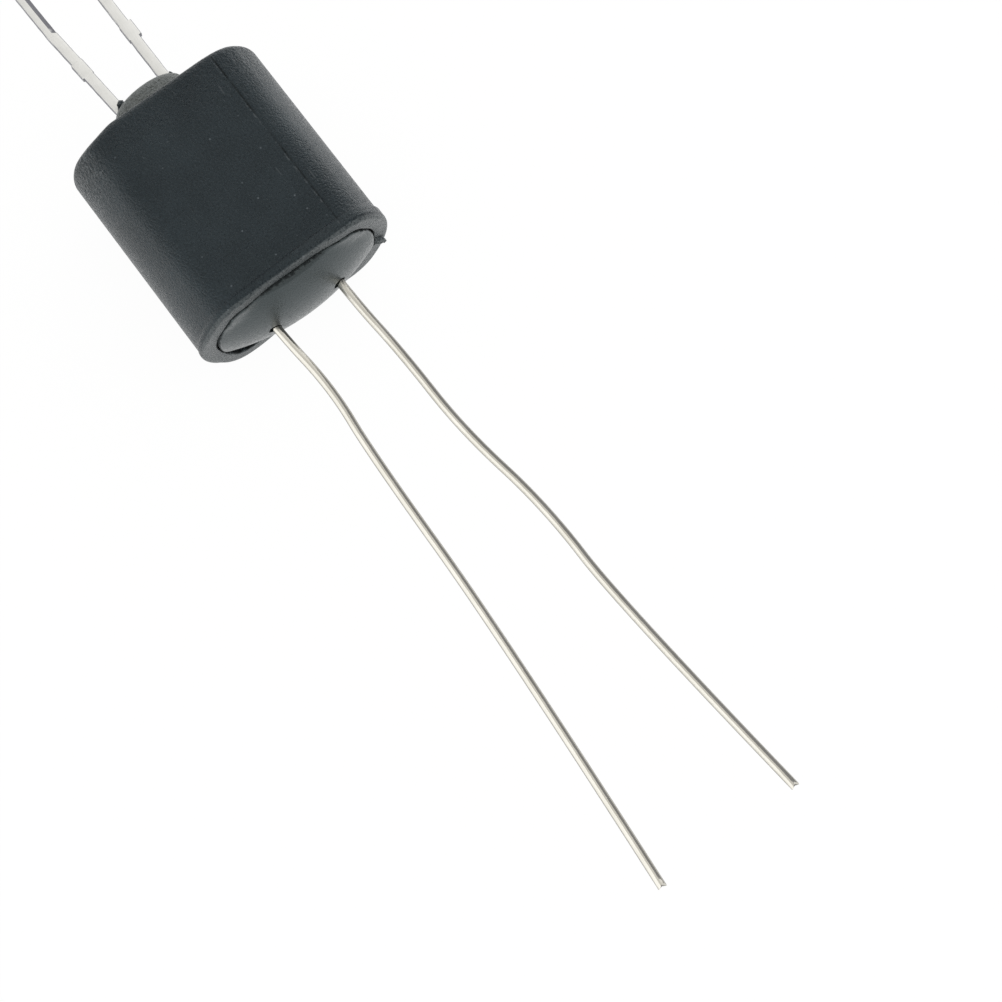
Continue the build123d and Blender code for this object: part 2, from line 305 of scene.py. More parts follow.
def torn_tab(root_mm, tip_mm, radii_mm, seed):
    """Rings of a bit of flash that narrows from root to tip, ragged all over."""
    root = Vector([part * mm for part in root_mm])
    tip = Vector([part * mm for part in tip_mm])
    wide, high = [part * mm for part in radii_mm]
    along = (tip - root).normalized()
    across = along.cross(Vector((1, 0, 0))).normalized()
    beside = along.cross(across)
    rings = []
    for share in np.linspace(0, 1, tab_rings):
        centre = root.lerp(tip, share)
        size = math.sqrt(1 - tab_taper * share * share)
        ring = []
        for turn in np.linspace(0, 2 * math.pi, tab_sides, endpoint=False):
            spoke = across * (math.cos(turn) * wide) + beside * (math.sin(turn) * high)
            ring.append(centre + spoke * size)
        wave = roughness_at(ring, tab_bump, seed)
        rings.append([point + (point - centre) * (tab_ragged * bump) for point, bump in zip(ring, wave)])
    return [np.array(ring) for ring in rings]


leg_low, leg_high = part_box("led_anode_lead")
leg_width = 0.48 * mm
leg_thickness = leg_high.z - leg_low.z
leg_pitch = 2.54 * mm
slot_clearance = 0.05 * mm
slot_ends = (housing_low.x - boss_height, lens_low.x + slot_clearance)
half_slot = np.array([leg_width, leg_thickness]) / 2 + slot_clearance
rim_flash = (
    torn_tab((4.88, 4.05, 2.80), (5.06, 4.66, 2.00), (0.20, 0.17), seed=1),
    torn_tab((4.85, 4.02, 3.50), (5.02, 4.14, 2.10), (0.11, 0.10), seed=2),
    torn_tab((4.52, -4.76, 3.75), (4.66, -4.88, 3.00), (0.07, 0.06), seed=5),
)
leg_flash = (
    torn_tab((-6.02, -1.16, 3.92), (-6.44, -1.12, 3.98), (0.23, 0.21), seed=6),
    torn_tab((-6.00, 1.00, 3.66), (-6.40, 1.00, 3.70), (0.12, 0.09), seed=7),
    torn_tab((-6.00, 1.42, 3.62), (-6.34, 1.46, 3.66), (0.12, 0.08), seed=9),
)
housing = skin("housing_skin", [housing_rings()])
for side in (-1, 1):
    corners = half_slot * np.array([(1, 1), (1, -1), (-1, -1), (-1, 1)])
    corners[:, 0] += side * leg_pitch / 2
    cut_away(housing, skin("slot", [[placed(x, corners) for x in slot_ends]]))
take_in(housing, skin("flash", rim_flash + leg_flash))
smooth_over(housing, sharp_degrees=40)


class Socket:
    """An output of a shader node. Arithmetic on it adds Math nodes to the same tree."""

    def __init__(self, tree, output=None):
        self.tree = tree
        self.output = output

    def feed(self, value, target):
        """Links or sets one input."""
        if isinstance(value, Socket):
            self.tree.links.new(value.output, target)
        else:
            target.default_value = value

    def node(self, kind, settings, sockets, pick=0):
        """Adds a node of any kind: its settings first, then the values or links of its sockets."""
        made = self.tree.nodes.new(kind)
        for name, value in settings.items():
            if name == "stops":
                ramp = made.color_ramp.elements
                while len(ramp) < len(value):
                    ramp.new(0.5)
                for element, (place, colour) in zip(ramp, value):
                    element.position = place
                    element.color = (*colour, 1)
            else:
                setattr(made, name, value)
        for name, value in sockets.items():
            self.feed(value, made.inputs[name])
        return Socket(self.tree, made.outputs[pick])

    def math(self, operation, first, second=0.0):
        """A Math node on two values."""
        return self.node("ShaderNodeMath", {"operation": operation}, {0: first, 1: second})

    def __add__(self, other):
        return self.math("ADD", self, other)

    def __sub__(self, other):
        return self.math("SUBTRACT", self, other)

    def __rsub__(self, other):
        return self.math("SUBTRACT", other, self)

    def __mul__(self, other):
        return self.math("MULTIPLY", self, other)

    __radd__ = __add__
    __rmul__ = __mul__

    def between(self, low, high):
        """Smooth step from 0 at low to 1 at high."""
        sockets = {"Value": self, "From Min": low, "From Max": high}
        return self.node("ShaderNodeMapRange", {"interpolation_type": "SMOOTHSTEP"}, sockets)

    def tint(self, first, second):
        """Colour that goes from first to second as this value goes from 0 to 1."""
        return self.node("ShaderNodeMix", {"data_type": "RGBA"}, {0: self, 6: first, 7: second}, pick=2)

    def noise(self, scale, detail=2.0):
        """Noise at this place, about 0.5 on average."""
        return self.node("ShaderNodeTexNoise", {}, {"Vector": self, "Scale": scale, "Detail": detail})

    def axis(self, number):
        """One coordinate of this place."""
        return self.node("ShaderNodeSeparateXYZ", {}, {0: self}, pick=number)


def new_material(name, **constants):
    """Material, its shader with constants on the shader's own sockets, and the place on the part in mm."""
    material = bpy.data.materials.new(name)
    material.use_nodes = True
    shader = material.node_tree.nodes["Principled BSDF"]
    for socket, value in constants.items():
        shader.inputs[socket.replace("_", " ")].default_value = value
    tree = Socket(material.node_tree)
    own = tree.node("ShaderNodeTexCoord", {}, {}, pick=3)
    place = tree.node("ShaderNodeVectorMath", {"operation": "SCALE"}, {0: own, "Scale": 1 / mm})
    return material, shader, place


def wear(piece, material):
    """Gives a piece or a CAD node its one material."""
    piece.data.materials.clear()
    piece.data.materials.append(material)


def opaque(colour):
    """Colour socket value."""
    return (*colour, 1.0)


def depth_in_section(place):
    """How far a place lies inside the housing's outer section, in mm."""
    across = place.math("ABSOLUTE", place.axis(1))
    height = place.math("ABSOLUTE", place.axis(2) - middle / mm)
    off_side = across - side_centre / mm
    to_side = side_radius / mm - place.math("SQRT", off_side * off_side + height * height)
    off_flat = place.math("MAXIMUM", across - half_flat / mm, 0.0)
    off_corner = place.math("MAXIMUM", height - corner_z / mm, 0.0)
    to_corner = corner_radius / mm - place.math("SQRT", off_flat * off_flat + off_corner * off_corner)
    turned = off_side * (corner_z / mm) - height * ((half_flat - side_centre) / mm)
    beside = turned.between(0.0, 0.01)
    return to_corner + beside * (to_side - to_corner)


# Noise scales per mm, places on the part in mm, and tones of the marks on the plastic, some of them painted
# shade, shadow, highlight and reflection.
fine_scale = 21.0
coarse_scale = 10.0
pebble_scale = 6.0
cloud_scale = 0.45
dust_scale = 1.2
pebbled_x = (-4.4, -1.8)
front_z = (6.55, 6.7)
side_top_z = (6.2, 6.65)
bead_highlight_x = (4.25, 4.5)
bead_highlight_y = (-0.5, 1.5)
rim_face_depth = (0.65, 0.68)
scuff_beside = 0.07
gap_shadow_blur = 0.03
highlight_tint = (0.84, 0.97, 1.0)
groove_shade_tone = (0.002, 0.003, 0.004)
boss_reflection_tone = (0.180, 0.190, 0.184)
rim_highlight_tone = (0.088, 0.098, 0.102)
glint_tone = (0.24, 0.26, 0.27)
dust_tone = (0.24, 0.27, 0.30)
scuff_tone = (0.16, 0.17, 0.18)
gap_shadow_tone = (0.0008, 0.0008, 0.001)


def moulded_plastic(name, dark, pale, gloss, base_roughness, grain_depth, gap_shadow_low, gap_shadow_high):
    """Black moulded plastic: grain, cloudy tone and dust, with a painted shadow in the torn gap where rim
    and plug meet, painted shade in the parting groove, painted highlights on rim and bead, a painted
    reflection on the boss and painted glints near the LED's end.
    """
    finish = {"Specular_IOR_Level": gloss, "Specular_Tint": opaque(highlight_tint)}
    material, shader, place = new_material(name, Sheen_Weight=0.05, Sheen_Roughness=0.3, **finish)
    along = place.axis(0)
    across = place.axis(1)
    upwards = place.axis(2)
    fine = place.noise(fine_scale, 3.0)
    coarse = place.noise(coarse_scale, 2.0)
    near_led = 1 - along.between(*pebbled_x)
    pebbles = near_led * place.noise(pebble_scale, 2.0)
    height = (fine * 0.3 + coarse * 0.9) * (1 + near_led) + pebbles * 2.4
    bump = place.node("ShaderNodeBump", {}, {"Strength": 1.0, "Distance": grain_depth, "Height": height})
    place.feed(bump, shader.inputs["Normal"])

    on_front = upwards.between(*front_z)
    cells = {"voronoi_dimensions": "2D"}
    flakes = {"Vector": place, "Scale": dust_scale, "Randomness": 1.0}
    distance = place.node("ShaderNodeTexVoronoi", cells, flakes)
    kind = place.node("ShaderNodeTexVoronoi", cells, flakes, pick=1).axis(0)
    speck = (1 - (distance - kind * 0.03).between(0.0, 0.04)) * kind.between(0.6, 1.0) * on_front
    slanted = {"Vector": place, "Rotation": (0, 0, 0.5), "Scale": (0.12, 1.3, 1)}
    drawn = place.node("ShaderNodeMapping", {}, slanted)
    scratch = drawn.noise(6.0, 1.0).between(0.70, 0.76) * on_front
    scratch = scratch * place.noise(0.7, 1.0).between(0.5, 0.62)
    off_parting = across - half_flat / mm
    # Painted shade: the parting groove is painted near black and a little metallic, for the shade that
    # falls in it.
    parting = 1 - place.math("ABSOLUTE", off_parting).between(0.02, 0.06)
    parting = parting * on_front * place.noise(1.1, 3.0).between(0.30, 0.62)
    scuffed = 1 - place.math("ABSOLUTE", off_parting + scuff_beside).between(0.01, 0.06)
    scuff = scuffed * place.noise(4.0, 3.0).between(0.52, 0.66) * on_front
    glint = near_led * place.noise(8.0, 3.0).between(0.50, 0.66) * (1 - upwards.between(*side_top_z))

    inset = depth_in_section(place)
    past_rim = along - rim_x / mm
    # Painted highlight: the rim's end face, and faintly the bead, are painted paler for the light they
    # catch.
    rim_face = past_rim.between(-0.07, -0.01) * (1 - inset.between(*rim_face_depth))
    bead_highlight = along.between(*bead_highlight_x) * across.between(*bead_highlight_y)
    rim_highlight = (rim_face * 0.85 + bead_highlight * 0.12) * coarse.between(0.2, 0.6)
    # Painted shadow: the wall of the torn gap between rim and plug is painted near black, in broken dashes,
    # for the shade deep in the gap.
    torn = inset + (place.noise(7.0, 2.0) - 0.5) * 0.05
    gap_shadow = torn.between(gap_shadow_low - gap_shadow_blur, gap_shadow_low)
    gap_shadow = gap_shadow * (1 - torn.between(gap_shadow_high, gap_shadow_high + gap_shadow_blur))
    gap_shadow_breaks = place.noise(4.5, 2.0).between(0.42, 0.50)
    gap_shadow = gap_shadow * gap_shadow_breaks * past_rim.between(-0.30, -0.20)
    # Painted reflection: the boss's face is painted far paler than the plastic, in patches, for the bright
    # floor it reflects.
    boss_reflection = 1 - (along - led_end_x / mm).between(-0.15, -0.02)
    boss_reflection = boss_reflection * (along - housing_low.x / mm).between(-0.03, 0.01) * coarse.between(-0.2, 0.6)

    mottle = place.noise(cloud_scale, 3.0) * 0.3 + coarse * 0.4 + fine * 0.3
    tone = mottle.between(0.38, 0.62).tint(opaque(dark), opaque(pale))
    tone = parting.tint(tone, opaque(groove_shade_tone))
    tone = boss_reflection.tint(tone, opaque(boss_reflection_tone))
    tone = rim_highlight.tint(tone, opaque(rim_highlight_tone))
    tone = (glint * 0.40).tint(tone, opaque(glint_tone))
    tone = (speck * 0.3).tint(tone, opaque(dust_tone))
    tone = (scuff * 0.3 + scratch * 0.2).tint(tone, opaque(scuff_tone))
    tone = gap_shadow.tint(tone, opaque(gap_shadow_tone))
    place.feed(tone, shader.inputs["Base Color"])
    rough = base_roughness + (coarse - 0.5) * 0.7 + gap_shadow * 0.5
    place.feed(rough, shader.inputs["Roughness"])
    place.feed(parting * 0.4, shader.inputs["Metallic"])
    return material


housing_plastic = moulded_plastic(
    "housing_plastic",
    dark=(0.0002, 0.0032, 0.0068),
    pale=(0.0110, 0.0180, 0.0240),
    gloss=0.44,
    base_roughness=0.33,
    grain_depth=0.070 * mm,
    gap_shadow_low=0.66,
    gap_shadow_high=0.80,
)
wear(housing, housing_plastic)
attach(housing, "root")
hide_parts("housing")

# End plug: a softer black filling with a smooth domed face, pressed into the housing's mouth and torn
# along its edge. Two ragged holes let the photoresistor's wires out.
plug_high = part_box("end_plug")[1]
plug_inset = 0.735 * mm
plug_crown = plug_high.x - rim_x
crown_spread_share = 1.1
crown_half_y = crown_spread_share * (half_width - plug_inset)
crown_half_z = crown_spread_share * (half_thickness - plug_inset)
crown_radius_y = (crown_half_y**2 + plug_crown**2) / (2 * plug_crown)
crown_radius_z = (crown_half_z**2 + plug_crown**2) / (2 * plug_crown)
edge_round = 0.14 * mm
edge_lift = 0.03 * mm
shoulder_drop = 0.08 * mm
shoulder_bows = 2.0
shoulder_blend = 0.18 * mm
edge_ragged = 0.05 * mm
edge_bump = 0.30 * mm
dome_rings = 60
wire_pitch = 3.4 * mm
hole_radius = 0.30 * mm
hole_ragged = 0.22
hole_bump = 0.2 * mm
hole_sides = 40
hole_rings = 30


def crown_x(outline):
    """Height of the domed face over points (y, z) of the section."""
    over_z = crown_radius_y - crown_radius_z + np.sqrt(crown_radius_z**2 - outline[:, 1] ** 2)
    dome = plug_high.x - crown_radius_y + np.sqrt(over_z**2 - outline[:, 0] ** 2)
    shoulder = rim_x + shoulder_bows * front_bow(outline) - shoulder_drop
    fuller = (dome + shoulder + np.sqrt((dome - shoulder) ** 2 + shoulder_blend**2)) / 2
    return dome + np.clip(outline[:, 1] / bow_depth, 0, 1) * (fuller - dome)


def plug_rings():
    """Rings from the middle of the dome to its torn edge, then down the side to the seat."""
    edge = oval(plug_inset)
    inner = oval(plug_inset + edge_round)
    rings = []
    for share in np.linspace(0.02, 1, dome_rings):
        outline = inner * share
        rings.append(placed(crown_x(outline), outline))
    drop = np.maximum(crown_x(edge) - rim_x - front_bow(edge) - edge_lift, edge_ragged)
    for turn in np.linspace(0, math.pi / 2, 11)[1:]:
        outline = inner + (edge - inner) * math.sin(turn)
        ring = placed(crown_x(outline) - drop * (1 - math.cos(turn)), outline)
        torn = (1 - math.cos(turn)) * np.clip(roughness_at(ring, edge_bump, seed=8), 0, 1)
        ring[:, 0] -= edge_ragged * torn
        rings.append(ring)
    for x in np.linspace(rim_x - 4 * edge_ragged, plug_seat_x, 5):
        rings.append(placed(x, edge))
    return rings


end_plug = skin("end_plug_dome", [plug_rings()])
for side in (-1, 1):
    turns = np.linspace(0, 2 * math.pi, hole_sides, endpoint=False)
    round_hole = hole_radius * np.column_stack([np.cos(turns), np.sin(turns)])
    hole_centre = (side * wire_pitch / 2, 0)
    hole = []
    for x in np.linspace(plug_seat_x - mm, plug_high.x + mm, hole_rings):
        ring = placed(x, round_hole + hole_centre)
        bulge = 1 + hole_ragged * roughness_at(ring, hole_bump, seed=11)
        hole.append(placed(x, round_hole * bulge[:, None] + hole_centre))
    cut_away(end_plug, skin("hole", [hole]))
smooth_over(end_plug, sharp_degrees=50)
plug_plastic = moulded_plastic(
    "plug_plastic",
    dark=(0.0130, 0.0180, 0.0195),
    pale=(0.0190, 0.0235, 0.0250),
    gloss=0.84,
    base_roughness=0.30,
    grain_depth=0.016 * mm,
    gap_shadow_low=0.60,
    gap_shadow_high=0.745,
)
wear(end_plug, plug_plastic)
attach(end_plug, "root")
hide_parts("end_plug")

# LED legs: stamped from one strip of tinned iron, with the stubs of the tie bar that joined them. Inside
# the lens one becomes an anvil with a coined reflector cup, and the other the post for the bond wire.
leg_bevel = 0.05 * mm
flange_thickness = 1.0 * mm
shoulder_share = 0.4
lens_radius = 1.5 * mm
lens_length = lens_high.x - lens_low.x
anvil_outer_share = 0.78
anvil_inner_share = 0.24
anvil_root_share = 0.14
anvil_top_share = 0.52
post_inner_share = 0.5
cup_radius = 0.53 * mm
cup_mouth_share = 0.82
cup_floor_share = 0.45
cup_depth = 0.3 * mm
cup_height = 0.6 * mm
stub_length = 0.80 * mm
stub_ramp = 0.02 * mm
leg_ring_count = 220
leg_ragged = 0.012 * mm
leg_bump = 0.4 * mm
cathode_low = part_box("led_cathode_lead")[0]
cathode_bend_x = lens_low.x - 2.2 * mm
cathode_splay = math.tan(math.radians(4.6))
cathode_stub = (lens_low.x - 4.81 * mm, 0.06 * mm, 0.03 * mm)
anode_bend_x = lens_low.x - 2.2 * mm
anode_bend_length = 0.3 * mm
anode_shift = 0.1 * mm
anode_stub = (lens_low.x - 5.03 * mm, 0.03 * mm, 0.12 * mm)
nip_x = lens_low.x - 6.85 * mm
nip_size = 0.15 * mm
straighten = 0.14 * mm
straighten_x = (lens_low.x - 9.5 * mm, lens_low.x - 14 * mm)
nip_ramp = 0.08 * mm


def strip_ring(x, low_y, high_y, nip=0.0):
    """Rounded section of the strip between two edges, with a share of its upper right corner nipped off."""
    half = np.array([(high_y - low_y) / 2, leg_thickness / 2])
    ring = []
    for quarter, corner in enumerate(((1, 1), (-1, 1), (-1, -1), (1, -1))):
        share = nip if quarter == 0 else 0
        bevel = leg_bevel + share * nip_size
        for turn in np.linspace(quarter, quarter + 1, 4) * math.pi / 2:
            spoke = np.array([math.cos(turn), math.sin(turn)])
            spoke += share * (spoke / np.abs(spoke).sum() - spoke)
            ring.append((half - bevel) * corner + bevel * spoke)
    return placed(x, np.array(ring) + ((low_y + high_y) / 2, 0))


def leg_rings(side, tip_x, stub, lean, nip_at, inner_stations):
    """Rings of a leg from its cut tip, over the tie-bar stub, to the stations inside the lens."""
    stub_x, low_proud, high_proud = stub
    rings = []
    plain = np.linspace(tip_x, lens_low.x, leg_ring_count)
    stub_ends = np.array([-1, -1, 1, 1]) * stub_length / 2 + np.array([-1, 0, 0, 1]) * stub_ramp
    for x in np.sort(np.concatenate([plain, stub_x + stub_ends])):
        centre = side * leg_pitch / 2 + lean(x)
        on_stub = np.clip((stub_length / 2 + stub_ramp - abs(x - stub_x)) / stub_ramp, 0, 1)
        ragged = leg_ragged * noise.noise(Vector((x / leg_bump, side, 0.5)))
        low = centre - leg_width / 2 - low_proud * on_stub + ragged
        high = centre + leg_width / 2 + high_proud * on_stub + ragged / 2
        rings.append(strip_ring(x, low, high, nip_at(x)))
    for x, inner, outer in inner_stations:
        rings.append(strip_ring(x, *sorted((side * inner, side * outer))))
    return rings


def cathode_lean(x):
    """Sideways shift of the splayed leg."""
    risen = min(max((nip_x - x) / (nip_x - straighten_x[0]), 0), 1)
    fallen = min(max((straighten_x[0] - x) / (straighten_x[0] - straighten_x[1]), 0), 1)
    return straighten * risen * (1 - fallen) - cathode_splay * max(cathode_bend_x - x, 0)


def anode_lean(x):
    """Sideways shift of the other leg, pushed over where it leaves the boss."""
    return -anode_shift * min(max((anode_bend_x - x) / anode_bend_length, 0), 1)


def cathode_nip(x):
    """Share by which pliers have nipped the splayed leg's edge, towards its free end."""
    return min(max((nip_x - x) / nip_ramp, 0), 1)


def cup_rings(top_x):
    """Rings of the reflector cup: up the outside, over the lip and down the conical recess."""
    turns = np.linspace(0, 2 * math.pi, 48, endpoint=False)
    unit = np.column_stack([np.cos(turns), np.sin(turns)])
    outside = ((top_x - cup_height, 0.5), (top_x - cup_height, 1), (top_x, 1))
    recess = ((top_x, cup_mouth_share), (top_x - cup_depth, cup_floor_share))
    profile = outside + recess
    return [placed(x, unit * cup_radius * share) for x, share in profile]


leg_inner = (leg_pitch - leg_width) / 2
leg_outer = (leg_pitch + leg_width) / 2
shoulder_x = lens_low.x + shoulder_share * flange_thickness
flange_x = lens_low.x + flange_thickness
anvil_root_x = flange_x + anvil_root_share * lens_length
anvil_top_x = lens_low.x + anvil_top_share * lens_length
anvil_head = cup_floor_share * cup_radius
anvil = (
    (shoulder_x, leg_inner, leg_outer),
    (flange_x, -anvil_inner_share * lens_radius, anvil_outer_share * lens_radius),
    (anvil_root_x, -anvil_inner_share * lens_radius, anvil_outer_share * lens_radius),
    (anvil_top_x, -anvil_head, anvil_head),
)
post = (
    (shoulder_x, leg_inner, leg_outer),
    (flange_x, post_inner_share * lens_radius, anvil_outer_share * lens_radius),
    (anvil_top_x + cup_depth, post_inner_share * lens_radius, anvil_outer_share * lens_radius),
)
cathode_shells = [
    leg_rings(-1, cathode_low.x, cathode_stub, cathode_lean, cathode_nip, anvil),
    cup_rings(anvil_top_x + cup_depth),
]
anode_shells = [leg_rings(1, leg_low.x, anode_stub, anode_lean, lambda x: 0.0, post)]
dull_tin = (0.83, 0.83, 0.81)
clean_tin = (0.91, 0.91, 0.89)
bare_iron_and_shade = (0.21, 0.21, 0.23)


def tinned_strip(name):
    """Matt tin on both faces of stamped iron strip: sheared edges bare and dark, plus painted shade on
    faces turned sideways, most on the +y side.
    """
    material, shader, place = new_material(name, Metallic=1.0)
    rolled = place.node("ShaderNodeMapping", {}, {"Vector": place, "Scale": (0.25, 3.0, 3.0)})
    lines = rolled.noise(9.0, 3.0)
    smudge = place.noise(1.6, 3.0)
    pits = place.noise(12.0, 2.0)
    height = lines * 0.6 + pits * 0.4
    bump = place.node("ShaderNodeBump", {}, {"Strength": 0.6, "Distance": 0.004 * mm, "Height": height})
    place.feed(bump, shader.inputs["Normal"])
    # Painted shade: faces turned sideways, and bevels towards +y most, are painted dark iron; part of it is
    # the bare sheared edge.
    facing = place.node("ShaderNodeNewGeometry", {}, {}, pick=1)
    level = place.math("ABSOLUTE", facing.axis(2)) - facing.axis(1) * 0.3
    sheared_and_shaded = (1 - level.between(0.55, 0.95)) * (0.6 + 0.4 * place.noise(1.4, 2.0).between(0.34, 0.42))
    handled = (smudge * 0.6 + lines * 0.4).between(0.3, 0.7)
    tone = handled.tint(opaque(dull_tin), opaque(clean_tin))
    tone = (sheared_and_shaded * pits.between(-0.3, 0.40)).tint(tone, opaque(bare_iron_and_shade))
    place.feed(tone, shader.inputs["Base Color"])
    place.feed(0.36 + smudge * 0.18, shader.inputs["Roughness"])
    return material


strip_tin = tinned_strip("stamped_leg")
for node, name, shells in (
    ("led_cathode_lead", "cathode_leg", cathode_shells),
    ("led_anode_lead", "anode_leg", anode_shells),
):
    leg = skin(name, shells)
    smooth_over(leg, sharp_degrees=40)
    wear(leg, strip_tin)
    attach(leg, "root")
    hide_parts(node)

# Photoresistor wires: drawn copper wire, bright tinned, soldered in the ceramic and bent by hand. Side
# cutters have pinched their free ends.
wire_radius = 0.2 * mm
wire_reach = 29.79 * mm
wire_sides = 24
route_a = ((0.029, 0.0), (0.150, -0.102), (0.261, 0.010), (0.590, 0.106), (1.0, 0.416))
route_b = ((0.056, 0.0), (0.167, 0.078), (0.311, 0.084), (0.472, 0.319), (0.647, 0.307), (1.0, 0.627))
wire_routes = {"ldr_lead_a": (-1, route_a), "ldr_lead_b": (1, route_b)}
pinch_length = 0.35 * mm
pinch_share = 0.35
cut_slant = 0.9 * wire_radius
cut_turn = 0.4


def route_points(node):
    """Smooth centreline through the route of a wire, from its joint to its cut tip."""
    side, route = wire_routes[node]
    stops = [(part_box(node)[0].x, side * wire_pitch / 2, middle)]
    for along, outwards in route:
        stops.append((rim_x + along * wire_reach, side * wire_pitch * (0.5 + outwards), middle))
    curve = bpy.data.curves.new(node + "_route", "CURVE")
    curve.dimensions = "3D"
    spline = curve.splines.new("NURBS")
    spline.points.add(len(stops) - 1)
    for point, stop in zip(spline.points, stops):
        point.co = (*stop, 1)
    spline.order_u = 3
    spline.use_endpoint_u = True
    spline.resolution_u = 40
    carrier = bpy.data.objects.new(node + "_route", curve)
    line = bpy.data.meshes.new_from_object(carrier)
    points = [vertex.co.copy() for vertex in line.vertices]
    bpy.data.objects.remove(carrier)
    return points


def wire_rings(points):
    """Rings of a round wire along its centreline, flattened by the cutters at the tip."""
    rings = []
    length_left = sum((b - a).length for a, b in zip(points, points[1:]))
    for number, point in enumerate(points):
        ahead = points[min(number + 1, len(points) - 1)]
        behind = points[max(number - 1, 0)]
        along = (ahead - behind).normalized()
        sideways = Vector((0, 0, 1)).cross(along).normalized()
        upwards = along.cross(sideways)
        if number:
            length_left -= (point - points[number - 1]).length
        pinched = max(1 - length_left / pinch_length, 0) ** 2
        ring = []
        for turn in np.linspace(0, 2 * math.pi, wire_sides, endpoint=False):
            wide = math.cos(turn) * wire_radius
            high = math.sin(turn) * wire_radius * (1 - pinch_share * pinched)
            back = cut_slant * pinched * (1 - abs(math.cos(turn + cut_turn)))
            ring.append(point + sideways * wide + upwards * high - along * back)
        rings.append(np.array(ring))
    return rings


fingered_tin = (0.62, 0.60, 0.535)
bright_tin = (0.70, 0.68, 0.62)
edge_shade_tint = (0.25, 0.25, 0.27)


def bright_wire(name):
    """Bright tin on drawn wire: faint draw lines along it, finger marks and small scuffs."""
    # Painted shade: a dark grey edge tint makes the wire's grazing edges reflect darker.
    material, shader, place = new_material(name, Metallic=1.0, Specular_Tint=opaque(edge_shade_tint))
    drawn = place.node("ShaderNodeMapping", {}, {"Vector": place, "Scale": (0.12, 4.0, 4.0)})
    lines = drawn.noise(8.0, 3.0)
    marks = place.noise(0.8, 3.0)
    scuff = place.noise(9.0, 2.0).between(0.62, 0.72)
    relief = {"Strength": 0.5, "Distance": 0.003 * mm, "Height": lines + scuff * 0.3}
    place.feed(place.node("ShaderNodeBump", {}, relief), shader.inputs["Normal"])
    handled = (marks * 0.6 + lines * 0.4).between(0.3, 0.7)
    place.feed(handled.tint(opaque(fingered_tin), opaque(bright_tin)), shader.inputs["Base Color"])
    place.feed(0.10 + marks * 0.10 + scuff * 0.1, shader.inputs["Roughness"])
    return material


wire_tin = bright_wire("tinned_wire")
for node, name in (("ldr_lead_a", "wire_a"), ("ldr_lead_b", "wire_b")):
    wire = skin(name, [wire_rings(route_points(node))])
    smooth_over(wire, sharp_degrees=50)
    wear(wire, wire_tin)
    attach(wire, "root")
    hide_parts(node)

# LED body, chip and bond wire, shut in the dark of the housing: red-tinted cast epoxy round the lead
# frame, a sawn chip in the cup and a gold wire over to the post.


def mottled(name, first, second, scale, rough, **constants):
    """Material that varies between two tones and a little in gloss, with a slight relief."""
    material, shader, place = new_material(name, **constants)
    patches = place.noise(scale, 4.0)
    relief = {"Strength": 0.4, "Distance": 0.004 * mm, "Height": place.noise(scale * 4, 2.0)}
    place.feed(place.node("ShaderNodeBump", {}, relief), shader.inputs["Normal"])
    place.feed(patches.between(0.35, 0.65).tint(opaque(first), opaque(second)), shader.inputs["Base Color"])
    place.feed(rough + (patches - 0.5) * 0.15, shader.inputs["Roughness"])
    return material


epoxy = mottled(
    "led_epoxy", (0.75, 0.10, 0.07), (0.82, 0.15, 0.10), 1.5, 0.10, Transmission_Weight=0.85, IOR=1.54
)
wear(nodes["led_lens"], epoxy)
wear(nodes["led_die"], mottled("led_chip", (0.20, 0.17, 0.15), (0.28, 0.23, 0.20), 14.0, 0.35))
gold = mottled("bond_gold", (0.83, 0.60, 0.20), (0.90, 0.68, 0.28), 10.0, 0.22, Metallic=1.0)
wear(nodes["led_bond_wire"], gold)

# Photoresistor: a fired ceramic disc with a sintered orange film, two evaporated metal combs, drops of
# silver paste over the wire ends and a clear coat over the whole face.
ceramic = mottled("ldr_ceramic", (0.78, 0.74, 0.66), (0.84, 0.80, 0.73), 3.0, 0.70)
wear(nodes["ldr_substrate"], ceramic)
wear(nodes["ldr_film"], mottled("ldr_film", (0.58, 0.21, 0.04), (0.66, 0.28, 0.07), 8.0, 0.75))
comb_metal = mottled("comb_metal", (0.72, 0.72, 0.73), (0.80, 0.80, 0.81), 6.0, 0.32, Metallic=1.0)
paste = mottled("joint_paste", (0.62, 0.62, 0.61), (0.72, 0.72, 0.71), 9.0, 0.55, Metallic=0.8)
for letter in "ab":
    wear(nodes["ldr_electrode_" + letter], comb_metal)
    wear(nodes["ldr_joint_" + letter], paste)
coat = mottled(
    "clear_coat", (0.88, 0.86, 0.78), (0.94, 0.92, 0.85), 2.0, 0.08, Transmission_Weight=0.9, IOR=1.5
)
wear(nodes["ldr_coating"], coat)

# Floor: a plain white sheet that the part lies on. It shows white to the camera and in reflections, and
# keeps a little of its own shading, so that the part's shadow stays on it.
floor_half = 1.5
floor_z = cad_low.z
shadow_share = 0.06
paper_glow = 1.02
paper_grey = (0.88, 0.88, 0.88)
paper_white = (0.92, 0.92, 0.92)
floor_mesh = bpy.data.meshes.new("floor")
floor_corners = [(x * floor_half, y * floor_half, floor_z) for x, y in ((-1, -1), (1, -1), (1, 1), (-1, 1))]
floor_mesh.from_pydata(floor_corners, [], [(0, 1, 2, 3)])
floor = bpy.data.objects.new("floor", floor_mesh)
bpy.context.scene.collection.objects.link(floor)
paper, paper_shader, paper_place = new_material("floor_paper", Roughness=0.9, Specular_IOR_Level=0.1)
paper_tone = paper_place.noise(0.8, 3.0).tint(opaque(paper_grey), opaque(paper_white))
paper_place.feed(paper_tone, paper_shader.inputs["Base Color"])
path = paper_place.node("ShaderNodeLightPath", {}, {})
rays = path.output.node.outputs
seen = Socket(paper.node_tree, rays["Is Camera Ray"]) + Socket(paper.node_tree, rays["Is Glossy Ray"])
